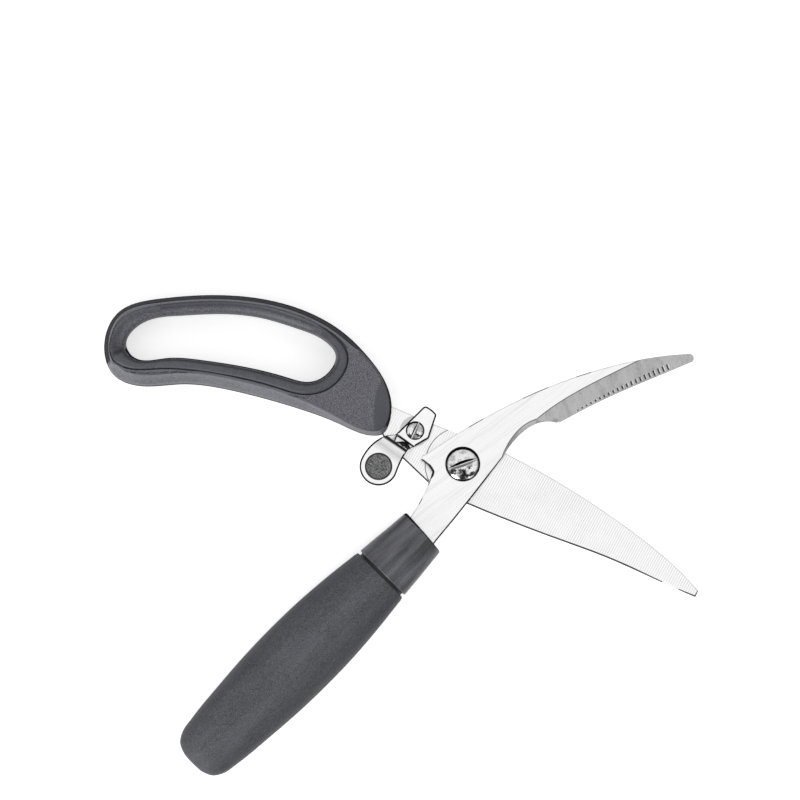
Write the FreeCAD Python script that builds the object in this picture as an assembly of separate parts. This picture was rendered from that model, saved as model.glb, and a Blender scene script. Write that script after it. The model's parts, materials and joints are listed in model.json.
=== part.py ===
"""Poultry shears, ten inches long when closed: two crossing blades, a moulded loop handle,
a straight soft grip, a sprung pivot and a swinging latch that holds the blades closed.

Every piece is modelled about the pivot: the pivot axis is X = Y = 0, the blades meet at Z = 0,
the serrated blade lies on top, and the shears are fully open. Each piece is then moved so that
the origin is on the table, under the middle of the whole part, and saved as one STEP file."""
import FreeCAD
import Part
import math
import os
from FreeCAD import Vector

# The pivot axis and the plane where the blades meet, seen from the origin.
PIVOT_AT = Vector(24.7, 27.4, 8.9)

# Motion: the loop side closes about the pivot, then the latch swings about its own screw.
CLOSE_ANGLE = 54.5
LATCH_AT = (-18.8, 13.3)

# Blades.
BLADE_THICKNESS = 2.9
BLADE_CLEARANCE = 0.1
EDGE_THICKNESS = 0.35
FLUTE_COUNT = 21
FLUTE_PITCH = 1.97
FLUTE_RADIUS = 0.55
FLUTE_DEPTH = 0.38
FLUTE_SHORTEST = 0.5
FLUTE_LONGEST = 2.5
FLUTE_TIP_MARGIN = 9.8
FLUTE_EDGE_MARGIN = 0.6
BEVEL_SLOPE_AT_TIP = 13.8
BEVEL_SLOPE_AT_NOTCH = 18.2
BEVEL_RISE_AT_EDGE = 0.2

# Hub, spring and stop.
HUB_RADIUS = 15.4
HUB_RECESS_RADIUS = 14.7
HUB_RECESS_DEPTH = 0.25
HUB_RECESS_REACH = 8.8
HUB_RECESS_ANGLE = -38.7
SPRING_POCKET = (5.2, 8.5)
SPRING_WIRE_RADIUS = 0.6
SPRING_TURNS = 1.6
POCKET_FLOOR = -1.9
STOP_RADIUS = 10.2
STOP_PIN_RADIUS = 1.0
STOP_PIN_ANGLE = 230.0
STOP_CLEARANCE = 0.1

# Pivot hardware.
BUSHING_INNER = 3.0
BUSHING_OUTER = 4.2
RUNNING_CLEARANCE = 0.05
SCREW_HEAD_RADIUS = 6.9
SCREW_HEAD_RISE = 2.7
SCREW_SLOT = (1.7, 1.3)
SCREW_SLOT_ANGLE = 19.5
PIVOT_NUT_RADIUS = 6.2
PIVOT_NUT_FACE = -7.6
PIVOT_NUT_THICKNESS = 2.6
PIVOT_NUT_CHAMFER = 0.7
NUT_SLOT = (1.6, 0.8)
NUT_SLOT_ANGLE = 70.0
CONE_WASHER_RADIUS = 7.4
CONE_WASHER_THICKNESS = 0.6
CONE_WASHER_BORE = 3.2

# Straight handle: its axis runs down and to the left, offset to the side of the pivot.
HANDLE_DIRECTION = 225.0
HANDLE_OFFSET = 7.9
HANDLE_CENTRE_Z = 1.5
HANDLE_FLATNESS = 0.66
COLLAR_FRONT = 30.0
COLLAR_BACK = 52.9
COLLAR_SKEW = 4.0
GRIP_FRONT = 54.0
GRIP_BUTT = 158.3
GRIP_WALL = 4.0
NECK_HALF_WIDTH = 11.2
TANG_WIDTH = 9.0
TANG_SHOULDER = 36.0
TANG_END = 118.0
TANG_PIN_RADIUS = 1.75
TANG_PIN_HALF_LENGTH = 6.0
GRIP_PIN_STATIONS = (70.0, 96.0)

# Loop handle.
LOOP_BOTTOM = -8.9
LOOP_TOP = 5.9
RIM_TOP = 6.5
LOOP_EDGE_ROUND = 2.4
RIM_EDGE_ROUND = 0.8
HOLE_EDGE_ROUND = 2.4
LONG_EDGE = 100.0
LOOP_PIN_SPOTS = ((-39.0, 19.6), (-46.5, 21.7))
LOOP_PIN_RADIUS = 1.5
LOOP_PIN_ENDS = (-6.5, 3.5)

# Latch: a bent sheet with a raised thumb disc.
LATCH_SHEET = 1.3
LATCH_TAB_Z = 0.9
LATCH_TOP_Z = 9.6
LATCH_BEND_RADIUS = 1.5
LATCH_BEND_DIRECTION = 234.0
LATCH_WEB_FOOT = 6.3
LATCH_WEB_HEAD = 9.9
LATCH_TIP_RADIUS = 10.6
LATCH_CATCH_GAP = 0.15
THUMB_AT = (-14.4, -14.6)
THUMB_RADIUS = 7.5
PAD_RADIUS = 5.4
LATCH_TIP_ARC = (40.5, 62.0)
THUMB_ARC = (152.0, 338.0)
PAD_SEAT = 0.5
PAD_EDGE_ROUND = 0.3
PAD_STANDS_PROUD = 0.35
LATCH_SCREW_RADIUS = 2.0
LATCH_SCREW_END = -4.8
LATCH_HEAD_RADIUS = 3.7
LATCH_HEAD_RISE = 2.0
LATCH_SLOT = (1.0, 1.0)
LATCH_SLOT_ANGLE = 65.0
LATCH_WASHER_RADIUS = 6.0
LATCH_NUT_RADIUS = 3.4
LATCH_NUT_FACE = -4.6
LATCH_NUT_CHAMFER = 0.5
HOLE_CLEARANCE = 0.03

UP = Vector(0, 0, 1)
TOP_FACE = BLADE_CLEARANCE + BLADE_THICKNESS


# ---------------------------------------------------------------- drawing helpers

def at(point, z=0.0):
    return Vector(point[0], point[1], z)


def polar(radius, angle, centre=(0.0, 0.0)):
    turn = math.radians(angle)
    return (centre[0] + radius * math.cos(turn), centre[1] + radius * math.sin(turn))


def turned(point, angle):
    radius = math.hypot(point[0], point[1])
    return polar(radius, math.degrees(math.atan2(point[1], point[0])) + angle)


def line(start, end, z=0.0):
    return Part.makeLine(at(start, z), at(end, z))


def arc(start, middle, end, z=0.0):
    return Part.Arc(at(start, z), at(middle, z), at(end, z)).toShape()


def arc_about(centre, radius, first, last):
    middle = (first + last) / 2
    return arc(*(polar(radius, angle, centre) for angle in (first, middle, last)))


def spline(*points):
    curve = Part.BSplineCurve()
    curve.interpolate([at(point) for point in points])
    return curve.toShape()


def ring_curve(points):
    curve = Part.BSplineCurve()
    curve.interpolate([at(point) for point in points], True)
    return curve.toShape()


def plate(edges, low, high):
    face = Part.Face(Part.Wire(Part.__sortEdges__(edges)))
    face.translate(UP * low)
    return face.extrude(UP * (high - low))


def rod(radius, low, high, centre=(0.0, 0.0)):
    return Part.makeCylinder(radius, high - low, at(centre, low))


def tube(inner, outer, low, high, centre=(0.0, 0.0)):
    return rod(outer, low, high, centre).cut(rod(inner, low - 1, high + 1, centre))


def prism_loft(sections, reach):
    """A cutter whose sections are triangles: an inner point, a lower outer point and a corner
    straight above (or below) the outer point, at the height of the inner one plus reach."""
    wires = []
    for inner, outer, inner_z, outer_z in sections:
        corners = [at(inner, inner_z), at(outer, outer_z), at(outer, inner_z + reach)]
        corners += [at(inner, inner_z + reach), at(inner, inner_z)]
        wires.append(Part.makePolygon(corners))
    return Part.makeLoft(wires, True, False)


def slotted_head(centre, radius, low, rise, slot, slot_angle):
    """A domed screw head with a short straight side and one straight slot (width, depth)."""
    side = rise * 0.35
    top = low + rise
    slot_width, slot_depth = slot
    profile = Part.Wire([
        Part.makeLine(Vector(0, 0, low), Vector(radius, 0, low)),
        Part.makeLine(Vector(radius, 0, low), Vector(radius, 0, low + side)),
        Part.Arc(
            Vector(radius, 0, low + side),
            Vector(radius * 0.62, 0, low + side + (rise - side) * 0.66),
            Vector(0, 0, top),
        ).toShape(),
        Part.makeLine(Vector(0, 0, top), Vector(0, 0, low)),
    ])
    head = Part.Face(profile).revolve(Vector(0, 0, 0), UP, 360)
    corner = Vector(-radius - 1, -slot_width / 2, top - slot_depth)
    groove = Part.makeBox(2 * radius + 2, slot_width, rise, corner)
    groove.rotate(Vector(0, 0, 0), UP, slot_angle)
    head = head.cut(groove)
    head.translate(at(centre))
    return head


def rim_edges(solid, level, shortest):
    """The long edges that lie flat at one height."""
    found = []
    for edge in solid.Edges:
        box = edge.BoundBox
        if box.ZLength < 0.01 and abs(box.ZMin - level) < 0.01 and edge.Length > shortest:
            found.append(edge)
    return found


def on_handle(along, across=0.0):
    """A point on the straight handle: along its axis from the pivot, and across it."""
    ahead = polar(along, HANDLE_DIRECTION)
    aside = polar(across, HANDLE_DIRECTION + 90)
    return (ahead[0] + aside[0], ahead[1] + aside[1])


# ---------------------------------------------------------------- blades

CATCH_CENTRE = turned(LATCH_AT, CLOSE_ANGLE)
CATCH_RADIUS = LATCH_TIP_RADIUS + LATCH_CATCH_GAP


def upper_cutting_edge():
    return spline((91.3, 40.8), (74.4, 33.7), (54.6, 25.0), (40.7, 17.8), (37.9, 16.3))


def between(first, last, share):
    return first + (last - first) * share


def flutes(edge):
    """Small round-bottomed flutes ground into the bevel just inside its edge, longer towards
    the tip. Each one runs up the bevel at the bevel's own slope."""
    cutters = []
    for index in range(FLUTE_COUNT):
        share = index / (FLUTE_COUNT - 1)
        length = between(FLUTE_LONGEST, FLUTE_SHORTEST, share)
        slope = math.radians(between(BEVEL_SLOPE_AT_TIP, BEVEL_SLOPE_AT_NOTCH, share))
        place = edge.getParameterByLength(FLUTE_TIP_MARGIN + index * FLUTE_PITCH)
        spot = edge.valueAt(place)
        tangent = edge.tangentAt(place)
        inward = Vector(tangent.y, -tangent.x, 0)
        direction = inward * math.cos(slope) + UP * math.sin(slope)
        surface = BLADE_CLEARANCE + EDGE_THICKNESS + BEVEL_RISE_AT_EDGE
        height = surface + FLUTE_EDGE_MARGIN * math.tan(slope) + FLUTE_RADIUS - FLUTE_DEPTH
        start = Vector(spot.x, spot.y, height) + inward * FLUTE_EDGE_MARGIN
        cutters.append(Part.makeCylinder(FLUTE_RADIUS, length, start, direction))
    return cutters


def upper_blade():
    spine = spline((-14.9, 3.7), (6.9, 17.4), (30.8, 29.3), (54.6, 37.7), (78.4, 42.8), (90.3, 43.9))
    tip = arc((90.3, 43.9), (91.8, 42.6), (91.3, 40.8))
    edge = upper_cutting_edge()
    bone_notch = spline((37.9, 16.3), (30.8, 16.6), (22.8, 11.9), (16.5, 3.75))
    right_foot = on_handle(TANG_SHOULDER, 15.0)
    left_foot = on_handle(TANG_SHOULDER, 0.0)
    tang_left = HANDLE_OFFSET + TANG_WIDTH / 2
    tang_right = HANDLE_OFFSET - TANG_WIDTH / 2
    tang = [on_handle(TANG_SHOULDER, tang_left), on_handle(TANG_END, tang_left)]
    tang += [on_handle(TANG_END, tang_right), on_handle(TANG_SHOULDER, tang_right)]
    catch_low = polar(CATCH_RADIUS, 25, CATCH_CENTRE)
    catch_high = polar(CATCH_RADIUS, 60, CATCH_CENTRE)
    edges = [
        spine, tip, edge, bone_notch,
        arc((16.5, 3.75), (1.7, -15.5), (-10.3, -30.1)),
        line((-10.3, -30.1), right_foot),
        line(right_foot, tang[0]), line(tang[0], tang[1]),
        line(tang[1], tang[2]), line(tang[2], tang[3]),
        line(tang[3], left_foot),
        line(left_foot, (-21.2, -21.7)),
        spline((-21.2, -21.7), (-16.9, -14.9), (-13.1, -6.6), catch_low),
        arc_about(CATCH_CENTRE, CATCH_RADIUS, 25, 60),
        arc(catch_high, (-16.2, 2.9), (-14.9, 3.7)),
    ]
    blade = plate(edges, BLADE_CLEARANCE, TOP_FACE)
    over = TOP_FACE + 0.02
    low = BLADE_CLEARANCE + EDGE_THICKNESS
    bevel = prism_loft([
        ((28.6, 17.0), (30.2, 15.2), over, 1.7),
        ((38.7, 24.6), (42.3, 18.0), over, low),
        ((54.6, 33.5), (58.4, 26.0), over, low),
        ((68.8, 40.5), (73.4, 32.6), over, low),
        ((87.0, 49.8), (94.0, 41.2), over, low),
    ], 1.0)
    notch_bevel = prism_loft([
        ((15.9, 3.4), (17.0, 2.4), over, 2.2),
        ((19.7, 10.5), (21.4, 8.8), over, 1.6),
        ((25.0, 15.7), (26.8, 13.7), over, 1.6),
        ((30.6, 18.0), (32.6, 15.6), over, 1.6),
    ], 1.0)
    blade = blade.cut([bevel, notch_bevel])
    blade = blade.cut(flutes(edge))
    cutters = [rod(BUSHING_OUTER, -1, 5), opening_stop_pin(), grip_tang_pins()]
    return blade.cut(cutters)


def lower_blade():
    cutting_edge = spline(
        (17.3, 4.3), (35.9, -5.8), (56.2, -18.7), (72.4, -30.5), (86.9, -43.1), (93.1, -50.0))
    spine = spline((91.9, -52.4), (76.4, -45.5), (56.2, -36.5), (36.7, -29.3), (17.7, -22.1), (1.7, -15.5))
    hub = arc((1.7, -15.5), polar(HUB_RADIUS, 242), (-13.4, -7.3))
    hidden_top = arc((-1.5, 12.3), (9.2, 9.7), (17.3, 4.3))
    tang = [(-33.0, 14.6), (-35.1, 14.35), (-51.4, 19.0)]
    tang += [(-49.2, 26.6), (-32.9, 22.0), (-30.5, 23.9)]
    edges = [cutting_edge, line((93.1, -50.0), (91.9, -52.4)), spine, hub]
    edges += [line((-13.4, -7.3), (-30.2, 8.6)), line((-30.2, 8.6), tang[0])]
    edges += [line(tang[i], tang[i + 1]) for i in range(len(tang) - 1)]
    edges += [spline((-30.5, 23.9), (-20.4, 19.8), (-10.9, 15.8), (-1.5, 12.3)), hidden_top]
    top = -BLADE_CLEARANCE
    bottom = -TOP_FACE
    blade = plate(edges, bottom, top)
    under = bottom - 0.02
    low = top - EDGE_THICKNESS
    bevel = prism_loft([
        ((19.0, -4.5), (21.5, 2.6), under, -1.6),
        ((34.0, -14.0), (38.5, -6.6), under, low),
        ((53.5, -26.5), (58.8, -19.9), under, low),
        ((73.0, -40.5), (79.0, -35.2), under, low),
        ((90.0, -55.0), (95.5, -50.5), under, low),
    ], -1.0)
    cutters = [bevel, hub_recess(top), tube(*SPRING_POCKET, POCKET_FLOOR, 1)]
    cutters += stop_slot()
    cutters.append(rod(BUSHING_OUTER + RUNNING_CLEARANCE, -5, 1))
    cutters.append(rod(LATCH_SCREW_RADIUS + HOLE_CLEARANCE, -5, 1, LATCH_AT))
    cutters += [rod(LOOP_PIN_RADIUS, -5, 1, spot) for spot in LOOP_PIN_SPOTS]
    for cutter in cutters:
        blade = blade.cut(cutter)
    return blade


def hub_recess(top):
    """A shallow round recess about the pivot, cut off straight on the cutting side."""
    low = top - HUB_RECESS_DEPTH
    reach = 2 * HUB_RECESS_RADIUS
    corner = Vector(HUB_RECESS_REACH, -HUB_RECESS_RADIUS, low)
    cut_off = Part.makeBox(reach, reach, 2, corner)
    cut_off.rotate(Vector(0, 0, 0), UP, HUB_RECESS_ANGLE)
    return rod(HUB_RECESS_RADIUS, low, 1).cut(cut_off)


def stop_slot():
    """The curved slot that the stop pin runs in: a sector of a ring with two round ends."""
    half_width = STOP_PIN_RADIUS + STOP_CLEARANCE
    first = STOP_PIN_ANGLE - CLOSE_ANGLE
    far = 2 * STOP_RADIUS
    ring = tube(STOP_RADIUS - half_width, STOP_RADIUS + half_width, POCKET_FLOOR, 1)
    sector = plate([
        line((0, 0), polar(far, first)),
        arc_about((0, 0), far, first, STOP_PIN_ANGLE),
        line(polar(far, STOP_PIN_ANGLE), (0, 0)),
    ], POCKET_FLOOR, 1)
    ends = [polar(STOP_RADIUS, angle) for angle in (first, STOP_PIN_ANGLE)]
    return [ring.common(sector)] + [rod(half_width, POCKET_FLOOR, 1, end) for end in ends]


# ---------------------------------------------------------------- pivot hardware

def pivot_screw():
    head = slotted_head(
        (0, 0), SCREW_HEAD_RADIUS, TOP_FACE, SCREW_HEAD_RISE, SCREW_SLOT, SCREW_SLOT_ANGLE)
    return head.fuse(rod(BUSHING_INNER, PIVOT_NUT_FACE + 0.5, TOP_FACE)).removeSplitter()


def pivot_bushing():
    return tube(BUSHING_INNER, BUSHING_OUTER, -TOP_FACE, TOP_FACE)


def pivot_cone_washer():
    """A dished spring washer that keeps the blades pressed together."""
    low = PIVOT_NUT_FACE + PIVOT_NUT_THICKNESS
    rim = -TOP_FACE - RUNNING_CLEARANCE
    corners = [
        Vector(CONE_WASHER_BORE, 0, low),
        Vector(CONE_WASHER_BORE, 0, low + CONE_WASHER_THICKNESS),
        Vector(CONE_WASHER_RADIUS, 0, rim),
        Vector(CONE_WASHER_RADIUS, 0, rim - CONE_WASHER_THICKNESS),
        Vector(CONE_WASHER_BORE, 0, low),
    ]
    return Part.Face(Part.makePolygon(corners)).revolve(Vector(0, 0, 0), UP, 360)


def pivot_nut():
    top = PIVOT_NUT_FACE + PIVOT_NUT_THICKNESS - RUNNING_CLEARANCE
    nut = tube(BUSHING_INNER, PIVOT_NUT_RADIUS, PIVOT_NUT_FACE, top)
    outer_rim = rim_edges(nut, PIVOT_NUT_FACE, 2 * math.pi * BUSHING_INNER + 1)
    nut = nut.makeChamfer(PIVOT_NUT_CHAMFER, outer_rim)
    width, depth = NUT_SLOT
    reach = 2 * PIVOT_NUT_RADIUS
    corner = Vector(-reach, -width / 2, PIVOT_NUT_FACE - depth)
    slot = Part.makeBox(2 * reach, width, 2 * depth, corner)
    slot.rotate(Vector(0, 0, 0), UP, NUT_SLOT_ANGLE)
    return nut.cut(slot)


def opening_stop_pin():
    return rod(STOP_PIN_RADIUS, POCKET_FLOOR + 0.2, 2.0, polar(STOP_RADIUS, STOP_PIN_ANGLE))


def opening_spring():
    """A flat spiral of round wire in the pocket round the bushing."""
    inner = SPRING_POCKET[0] + SPRING_WIRE_RADIUS + 0.1
    outer = SPRING_POCKET[1] - SPRING_WIRE_RADIUS - 0.1
    steps = 48
    path = []
    for step in range(steps + 1):
        share = step / steps
        path.append(polar(inner + (outer - inner) * share, 360 * SPRING_TURNS * share))
    spiral = Part.Wire([spline(*path)])
    height = (POCKET_FLOOR - BLADE_CLEARANCE) / 2
    spiral.translate(UP * height)
    ahead = spiral.Edges[0].tangentAt(0)
    section = Part.Wire([Part.makeCircle(SPRING_WIRE_RADIUS, at(path[0], height), ahead)])
    return spiral.makePipeShell([section], True, True)


# ---------------------------------------------------------------- straight handle

def handle_solid(profile_points, start, end):
    """Turns a profile about the handle's axis, flattens it, and lays it along the handle.
    The profile lists (distance from the pivot, half-width)."""
    curve = Part.BSplineCurve()
    curve.interpolate([Vector(along, half, 0) for along, half in profile_points])
    first = profile_points[0]
    last = profile_points[-1]
    edges = [Part.makeLine(Vector(start, 0, 0), Vector(first[0], first[1], 0)), curve.toShape()]
    if last[1] > 0:
        edges.append(Part.makeLine(Vector(last[0], last[1], 0), Vector(end, 0, 0)))
    edges.append(Part.makeLine(Vector(end, 0, 0), Vector(start, 0, 0)))
    solid = Part.Face(Part.Wire(edges)).revolve(Vector(0, 0, 0), Vector(1, 0, 0), 360)
    squash = FreeCAD.Matrix()
    squash.scale(1, 1, HANDLE_FLATNESS)
    solid = solid.transformGeometry(squash)
    solid.rotate(Vector(0, 0, 0), UP, HANDLE_DIRECTION)
    middle = polar(HANDLE_OFFSET, HANDLE_DIRECTION + 90)
    solid.translate(Vector(middle[0], middle[1], HANDLE_CENTRE_Z))
    return solid


def grip_profile(inset=0.0):
    """Half-widths of the grip from its front to its domed butt, less an inset."""
    stations = [(54.0, 12.6), (70.0, 14.4), (85.0, 15.5), (98.0, 15.8), (112.6, 15.5), (130.0, 14.3)]
    stations += [(146.0, 12.7), (152.5, 11.5), (156.0, 9.3), (157.9, 5.5)]
    shrunk = [(along, half - inset) for along, half in stations if along < GRIP_BUTT - 2 * inset - 0.3]
    return shrunk + [(GRIP_BUTT - inset * 1.4, 0.0)]


def grip_core():
    """The hard core inside the sleeve, with the short neck that shows between sleeve and collar."""
    neck_end = GRIP_FRONT + 0.5
    sides = [(COLLAR_BACK, NECK_HALF_WIDTH), (neck_end, NECK_HALF_WIDTH)]
    neck = handle_solid(sides, COLLAR_BACK, neck_end)
    inner = grip_profile(GRIP_WALL)
    return handle_solid(inner, GRIP_FRONT, inner[-1][0]).fuse(neck).removeSplitter()


def grip_sleeve(core):
    return handle_solid(grip_profile(), GRIP_FRONT, GRIP_BUTT).cut(core)


def grip_collar(blade):
    sides = [(28.5, 10.1), (36.0, 10.8), (45.0, 11.7), (COLLAR_BACK, 12.4)]
    collar = handle_solid(sides, sides[0][0], COLLAR_BACK)
    front = Part.makeBox(20, 80, 40, Vector(COLLAR_FRONT - 20, -40, -20))
    front.rotate(Vector(COLLAR_FRONT, 0, 0), UP, COLLAR_SKEW)
    front.rotate(Vector(0, 0, 0), UP, HANDLE_DIRECTION)
    aside = polar(HANDLE_OFFSET, HANDLE_DIRECTION + 90)
    front.translate(at(aside))
    return collar.cut(front).cut(blade)


def grip_tang_pins():
    low = HANDLE_CENTRE_Z - TANG_PIN_HALF_LENGTH
    high = HANDLE_CENTRE_Z + TANG_PIN_HALF_LENGTH
    spots = [on_handle(station, HANDLE_OFFSET) for station in GRIP_PIN_STATIONS]
    return Part.makeCompound([rod(TANG_PIN_RADIUS, low, high, spot) for spot in spots])


# ---------------------------------------------------------------- loop handle

def loop_outline():
    return ring_curve([
        (-34.2, 11.5), (-48.6, 16.0), (-65.7, 22.4), (-91.5, 29.4), (-112.0, 31.9), (-129.4, 31.4),
        (-138.4, 35.4), (-142.5, 46.6), (-137.1, 60.5), (-120.0, 66.2), (-98.5, 67.6), (-78.8, 65.9),
        (-61.4, 60.8), (-46.8, 52.2), (-37.3, 42.7), (-30.4, 32.4), (-28.1, 23.7), (-29.3, 15.2),
        (-31.2, 12.3),
    ])


def rim_outline():
    return ring_curve([
        (-60.6, 27.4), (-74.4, 30.4), (-91.5, 34.6), (-106.0, 36.9), (-120.0, 37.6), (-131.5, 37.6),
        (-138.6, 41.4), (-139.4, 49.6), (-134.0, 57.9), (-118.0, 62.7), (-98.5, 64.1), (-79.5, 62.5),
        (-63.0, 57.6), (-50.6, 50.4), (-45.4, 42.4), (-47.8, 34.6), (-53.4, 29.5),
    ])


def finger_hole():
    return ring_curve([
        (-61.0, 32.8), (-69.0, 34.4), (-78.7, 37.1), (-91.5, 39.7), (-104.4, 41.6), (-118.0, 42.2),
        (-130.4, 42.6), (-133.7, 47.4), (-128.6, 55.6), (-113.1, 59.3), (-98.2, 60.0), (-78.8, 58.1),
        (-65.0, 53.9), (-54.4, 49.0), (-50.4, 43.6), (-53.4, 36.4),
    ])


def loop_handle_body(blade):
    body = plate([loop_outline()], LOOP_BOTTOM, LOOP_TOP)
    edges = rim_edges(body, LOOP_BOTTOM, LONG_EDGE) + rim_edges(body, LOOP_TOP, LONG_EDGE)
    body = body.makeFillet(LOOP_EDGE_ROUND, edges)
    body = body.cut(plate([rim_outline()], LOOP_BOTTOM - 1, LOOP_TOP + 1))
    return body.cut(blade).cut(loop_tang_pins())


def loop_handle_rim():
    rim = plate([rim_outline()], LOOP_BOTTOM, RIM_TOP)
    rim = rim.makeFillet(RIM_EDGE_ROUND, rim_edges(rim, RIM_TOP, LONG_EDGE))
    rim = rim.cut(plate([finger_hole()], LOOP_BOTTOM - 1, RIM_TOP + 1))
    for level in (LOOP_BOTTOM, RIM_TOP):
        hole_edge = min(rim_edges(rim, level, LONG_EDGE), key=lambda edge: edge.Length)
        rim = rim.makeFillet(HOLE_EDGE_ROUND, [hole_edge])
    return rim


def loop_tang_pins():
    return Part.makeCompound([rod(LOOP_PIN_RADIUS, *LOOP_PIN_ENDS, spot) for spot in LOOP_PIN_SPOTS])


# ---------------------------------------------------------------- latch

def latch_washer():
    top = LATCH_TAB_Z - RUNNING_CLEARANCE
    return tube(LATCH_SCREW_RADIUS, LATCH_WASHER_RADIUS, -BLADE_CLEARANCE, top, LATCH_AT)


def latch_screw():
    seat = LATCH_TAB_Z + LATCH_SHEET + RUNNING_CLEARANCE
    head = slotted_head(
        LATCH_AT, LATCH_HEAD_RADIUS, seat, LATCH_HEAD_RISE, LATCH_SLOT, LATCH_SLOT_ANGLE)
    return head.fuse(rod(LATCH_SCREW_RADIUS, LATCH_SCREW_END, seat, LATCH_AT)).removeSplitter()


def latch_nut():
    nut = tube(LATCH_SCREW_RADIUS, LATCH_NUT_RADIUS, LATCH_NUT_FACE, -TOP_FACE, LATCH_AT)
    outer_rim = rim_edges(nut, LATCH_NUT_FACE, 2 * math.pi * LATCH_SCREW_RADIUS + 1)
    return nut.makeChamfer(LATCH_NUT_CHAMFER, outer_rim)


def heading(start, end):
    return math.atan2(end[1] - start[1], end[0] - start[0])


def lifted(points, lift):
    """The bent line moved sideways by the lift, with its corners mitred."""
    headings = [heading(points[i], points[i + 1]) for i in range(len(points) - 1)]
    befores = headings[:1] + headings
    afters = headings + headings[-1:]
    moved = []
    for point, before, after in zip(points, befores, afters):
        aside = (before + after) / 2 + math.pi / 2
        reach = lift / math.cos((after - before) / 2)
        moved.append((point[0] + reach * math.cos(aside), point[1] + reach * math.sin(aside)))
    return moved


def edges_across(solid, place, width):
    """The edges that run across the whole sheet at one place of its profile."""
    found = []
    for edge in solid.Edges:
        box = edge.BoundBox
        here = abs(box.XMin - place[0]) < 0.01 and abs(box.ZMin - place[1]) < 0.01
        if here and abs(edge.Length - width) < 0.01:
            found.append(edge)
    return found


def bent_sheet(points, thickness, radius, width):
    """A sheet that follows a line in the XZ plane with one bend up and one bend level again.
    The line's points are on the sheet's lower face."""
    low_side = points
    high_side = lifted(points, thickness)
    outline = low_side + high_side[::-1]
    corners = [Vector(x, -width / 2, z) for x, z in outline]
    solid = Part.Face(Part.makePolygon(corners + corners[:1])).extrude(Vector(0, width, 0))
    bends = [
        (low_side[1], radius + thickness), (high_side[1], radius),
        (low_side[2], radius), (high_side[2], radius + thickness),
    ]
    for place, bend in bends:
        solid = solid.makeFillet(bend, edges_across(solid, place, width))
    return solid


def latch_lever():
    """The tab on the screw, the sloping web and the raised thumb disc are one bent sheet, cut to
    the lever's outline."""
    profile = [(-14.0, LATCH_TAB_Z), (LATCH_WEB_FOOT, LATCH_TAB_Z)]
    profile += [(LATCH_WEB_HEAD, LATCH_TOP_Z), (32.0, LATCH_TOP_Z)]
    sheet = bent_sheet(profile, LATCH_SHEET, LATCH_BEND_RADIUS, 50.0)
    sheet.rotate(Vector(0, 0, 0), UP, LATCH_BEND_DIRECTION)
    tip_first, tip_last = (polar(LATCH_TIP_RADIUS, angle) for angle in LATCH_TIP_ARC)
    touch_left, touch_right = (polar(THUMB_RADIUS, angle, THUMB_AT) for angle in THUMB_ARC)
    outline = [
        arc_about((0, 0), LATCH_TIP_RADIUS, *LATCH_TIP_ARC),
        arc(tip_last, (4.1, 9.6), (2.9, 9.0)),
        line((2.9, 9.0), (-7.9, -1.7)),
        spline((-7.9, -1.7), (-13.4, -3.2), (-18.6, -7.4), touch_left),
        arc_about(THUMB_AT, THUMB_RADIUS, *THUMB_ARC),
        spline(touch_right, (-5.0, -11.6), (-2.8, -7.8)),
        line((-2.8, -7.8), (4.2, -3.7)),
        arc((4.2, -3.7), (5.3, -3.0), (5.8, -1.8)),
        line((5.8, -1.8), (8.3, 5.6)),
        arc((8.3, 5.6), (8.4, 6.3), tip_first),
    ]
    lever = plate(outline, -2, 20).common(sheet)
    lever = lever.cut(rod(LATCH_SCREW_RADIUS + RUNNING_CLEARANCE, -2, 5))
    lever = lever.cut(rod(PAD_RADIUS, LATCH_TOP_Z + PAD_SEAT, 20, THUMB_AT))
    lever.translate(at(LATCH_AT))
    return lever


def latch_pad():
    top = LATCH_TOP_Z + LATCH_SHEET + PAD_STANDS_PROUD
    spot = (LATCH_AT[0] + THUMB_AT[0], LATCH_AT[1] + THUMB_AT[1])
    pad = rod(PAD_RADIUS, LATCH_TOP_Z + PAD_SEAT, top, spot)
    return pad.makeFillet(PAD_EDGE_ROUND, rim_edges(pad, top, PAD_RADIUS))


# ---------------------------------------------------------------- assembly

def make_parts():
    upper = upper_blade()
    lower = lower_blade()
    core_outer = grip_core()
    pins = grip_tang_pins()
    return {
        "upper_blade": upper,
        "lower_blade": lower,
        "pivot_screw": pivot_screw(),
        "pivot_bushing": pivot_bushing(),
        "pivot_cone_washer": pivot_cone_washer(),
        "pivot_nut": pivot_nut(),
        "opening_stop_pin": opening_stop_pin(),
        "opening_spring": opening_spring(),
        "grip_collar": grip_collar(upper),
        "grip_core": core_outer.cut(upper).cut(pins),
        "grip_sleeve": grip_sleeve(core_outer),
        "grip_tang_pins": pins,
        "loop_handle_body": loop_handle_body(lower),
        "loop_handle_rim": loop_handle_rim(),
        "loop_tang_pins": loop_tang_pins(),
        "latch_washer": latch_washer(),
        "latch_screw": latch_screw(),
        "latch_nut": latch_nut(),
        "latch_lever": latch_lever(),
        "latch_pad": latch_pad(),
    }


os.makedirs("parts", exist_ok=True)
whole = FreeCAD.BoundBox()
for name, shape in make_parts().items():
    shape.translate(PIVOT_AT)
    whole.add(shape.BoundBox)
    print(name, shape.isValid(), len(shape.Solids), round(shape.Volume, 1))
    shape.exportStep("parts/" + name + ".step")
print("box", whole)
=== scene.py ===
"""Looks of the poultry shears: sculpted handles, bent latch, screws and ground steel, on a white table."""
import json
import math
from collections import namedtuple

import bmesh
import bpy
import numpy as np
from mathutils import Matrix, Vector


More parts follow.
